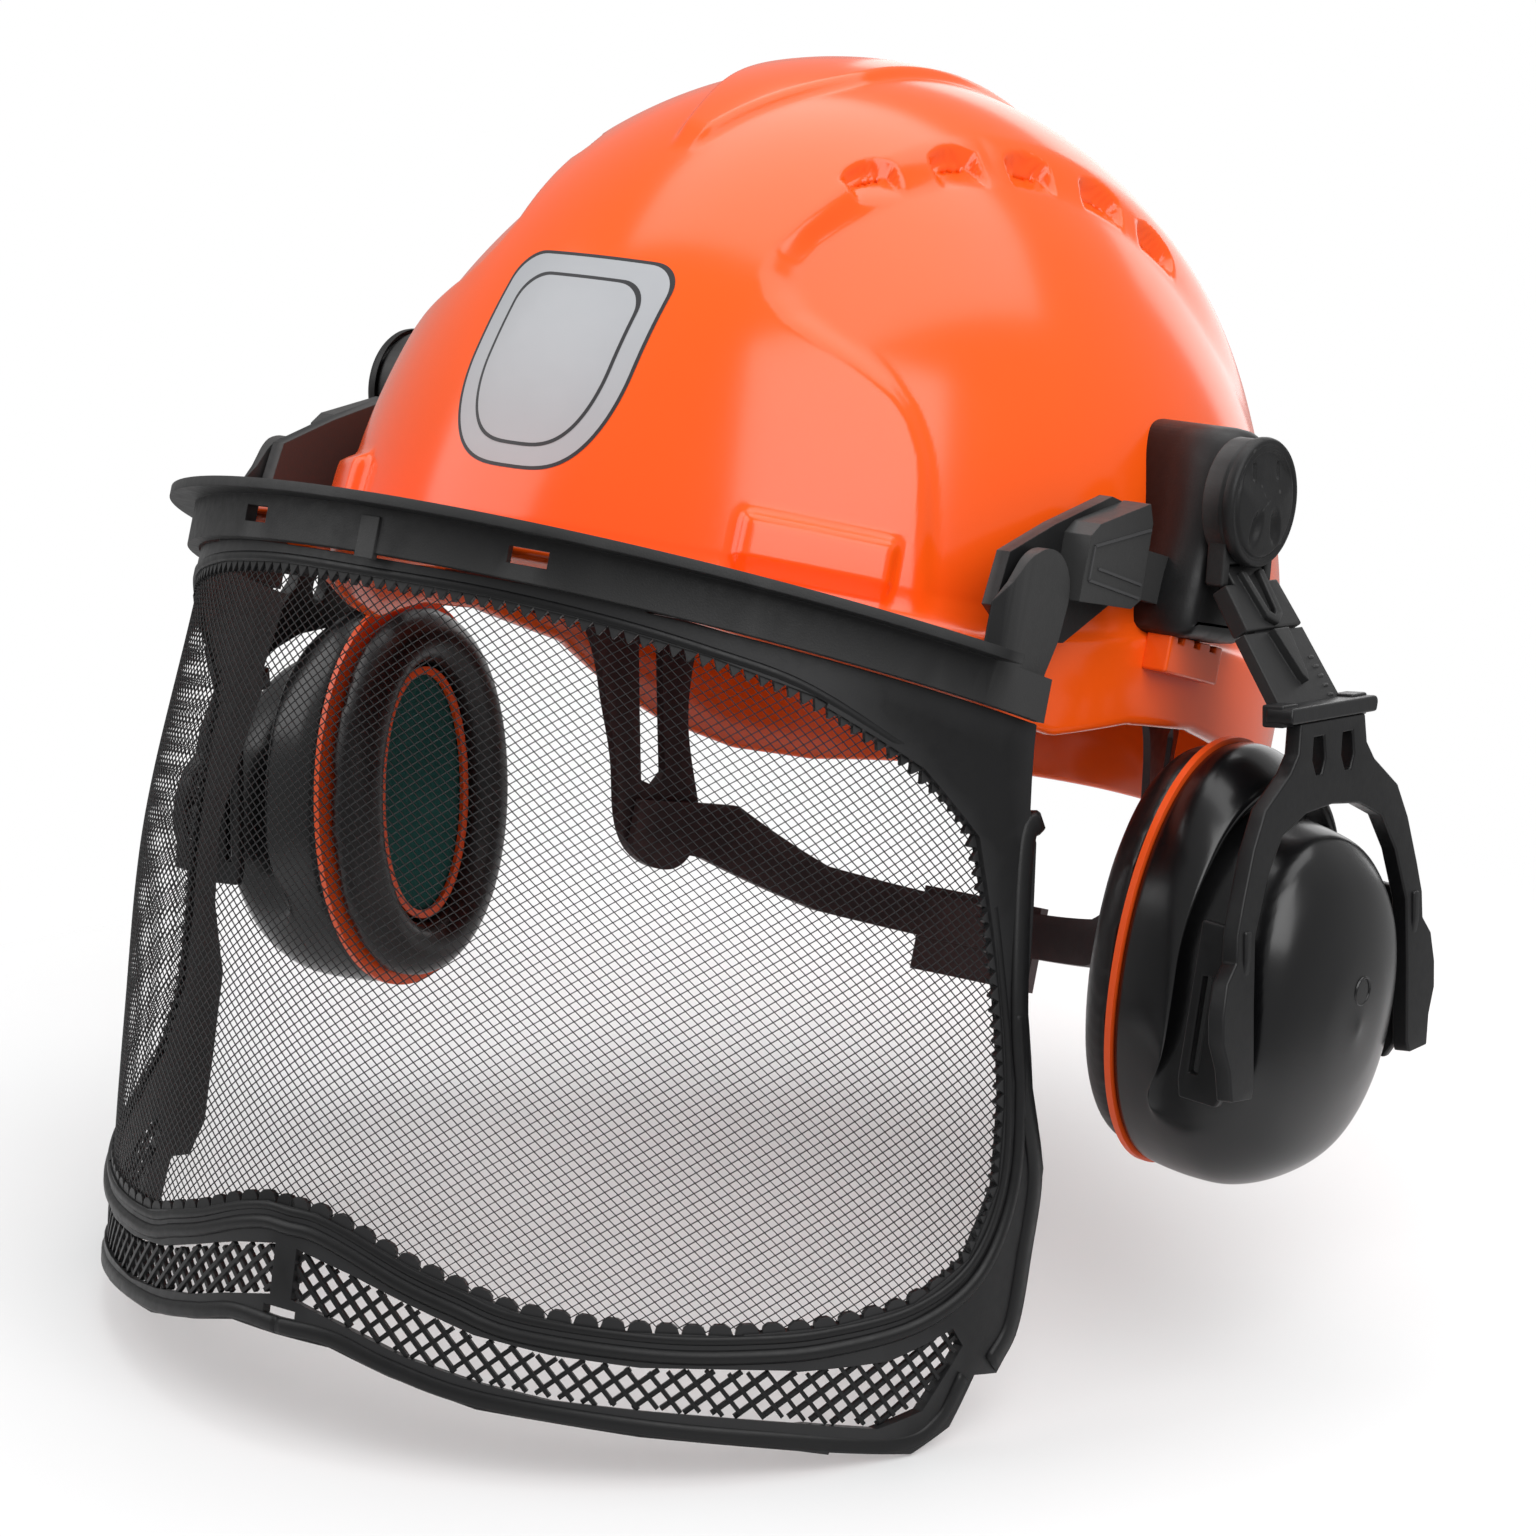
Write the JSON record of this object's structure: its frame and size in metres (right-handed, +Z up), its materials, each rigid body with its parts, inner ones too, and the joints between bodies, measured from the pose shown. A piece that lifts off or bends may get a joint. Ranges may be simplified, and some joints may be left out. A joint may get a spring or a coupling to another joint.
{
  "type": "hard hat",
  "caption": "Forestry hard hat with a tilting wire mesh visor, a chin grille, two adjustable ear muffs on side arms and an inner head harness with a nape band.",
  "frame": {"origin": "on the middle plane at the height of the lower side rim, below the middle of the dome", "axes": "+Z up as worn, -Y the wearer's front, +X the wearer's left"},
  "size_m": [0.3228, 0.3048, 0.3144],
  "materials": {
    "black_plastic": "fine spark grain",
    "webbing": "woven polyester",
    "cup_plastic": "gloss black with fine grain",
    "foam": "teal open foam",
    "orange_trim": "satin",
    "cushion_vinyl": "soft black vinyl",
    "emblem_silver": "silver foil",
    "harness_plastic": "brown-grey moulded",
    "shell_plastic": "smooth moulded orange",
    "mesh_wire": "etched steel mesh, dark"
  },
  "bodies": {
    "shell": {"adapter_foot_left": "black_plastic", "adapter_foot_right": "black_plastic", "adapter_left": "black_plastic", "adapter_right": "black_plastic", "carrier_cover_left": "black_plastic", "carrier_cover_right": "black_plastic", "crown_strap_front": "webbing", "crown_strap_left": "webbing", "crown_strap_right": "webbing", "emblem": "emblem_silver", "hanger_left": "harness_plastic", "hanger_lug_left": "harness_plastic", "hanger_lug_right": "harness_plastic", "hanger_right": "harness_plastic", "headband": "harness_plastic", "hub_axle_left": "black_plastic", "hub_axle_right": "black_plastic", "shell": "shell_plastic", "shell_front": "shell_plastic", "shell_rim_left": "shell_plastic", "shell_rim_rear": "shell_plastic", "shell_rim_right": "shell_plastic", "visor_carrier_left": "black_plastic", "visor_carrier_right": "black_plastic"},
    "visor": {"chin_lattice_left": "black_plastic", "chin_lattice_right": "black_plastic", "visor_frame": "black_plastic", "visor_holder": "black_plastic", "visor_mesh": "mesh_wire"},
    "nape": {"nape_buckle": "harness_plastic", "nape_strap": "harness_plastic"},
    "hub_left": {"arm_hub_left": "black_plastic"},
    "arm_left": {"arm_plate_left": "black_plastic"},
    "slider_left": {"height_slider_left": "black_plastic", "yoke_left": "black_plastic"},
    "cup_left": {"cup_dome_left": "cup_plastic", "cup_foam_left": "foam", "cup_inner_ring_left": "orange_trim", "cup_ring_left": "orange_trim", "cup_skirt_left": "cup_plastic", "ear_cushion_left": "cushion_vinyl"},
    "hub_right": {"arm_hub_right": "black_plastic"},
    "arm_right": {"arm_plate_right": "black_plastic"},
    "slider_right": {"height_slider_right": "black_plastic", "yoke_right": "black_plastic"},
    "cup_right": {"cup_dome_right": "cup_plastic", "cup_foam_right": "foam", "cup_inner_ring_right": "orange_trim", "cup_ring_right": "orange_trim", "cup_skirt_right": "cup_plastic", "ear_cushion_right": "cushion_vinyl"}
  },
  "joints": [
    {"name": "visor_hinge", "type": "hinge", "parent": "shell", "child": "visor", "pos_m": [0, -0.073, 0.0305], "axis": [-1, 0, 0], "range_deg": [0, 70]},
    {"name": "nape_size", "type": "slide", "parent": "shell", "child": "nape", "axis": [0, 1, 0], "range_m": [-0.008, 0]},
    {"name": "hub_turn_left", "type": "hinge", "parent": "shell", "child": "hub_left", "pos_m": [0.118, -0.014, 0.062], "axis": [1, 0, 0], "range_deg": [-4, 25]},
    {"name": "arm_swing_left", "type": "hinge", "parent": "hub_left", "child": "arm_left", "pos_m": [0.1206, -0.01051, 0.04557], "axis": [0, -0.9781, -0.2079], "range_deg": [-5, 25]},
    {"name": "height_slide_left", "type": "slide", "parent": "arm_left", "child": "slider_left", "axis": [0.6018, 0.166, -0.7812], "range_m": [0, 0.01]},
    {"name": "cup_tilt_left", "type": "hinge", "parent": "slider_left", "child": "cup_left", "pos_m": [0.14666, 0.0086, -0.04432], "axis": [0, 0.9781, 0.2079], "range_deg": [-4, 4]},
    {"name": "hub_turn_right", "type": "hinge", "parent": "shell", "child": "hub_right", "pos_m": [-0.118, -0.014, 0.062], "axis": [1, 0, 0], "range_deg": [-4, 25]},
    {"name": "arm_swing_right", "type": "hinge", "parent": "hub_right", "child": "arm_right", "pos_m": [-0.1206, -0.01051, 0.04557], "axis": [0, 0.9781, 0.2079], "range_deg": [-5, 25]},
    {"name": "height_slide_right", "type": "slide", "parent": "arm_right", "child": "slider_right", "axis": [-0.6018, 0.166, -0.7812], "range_m": [0, 0.01]},
    {"name": "cup_tilt_right", "type": "hinge", "parent": "slider_right", "child": "cup_right", "pos_m": [-0.14666, 0.0086, -0.04432], "axis": [0, -0.9781, -0.2079], "range_deg": [-4, 4]}
  ]
}
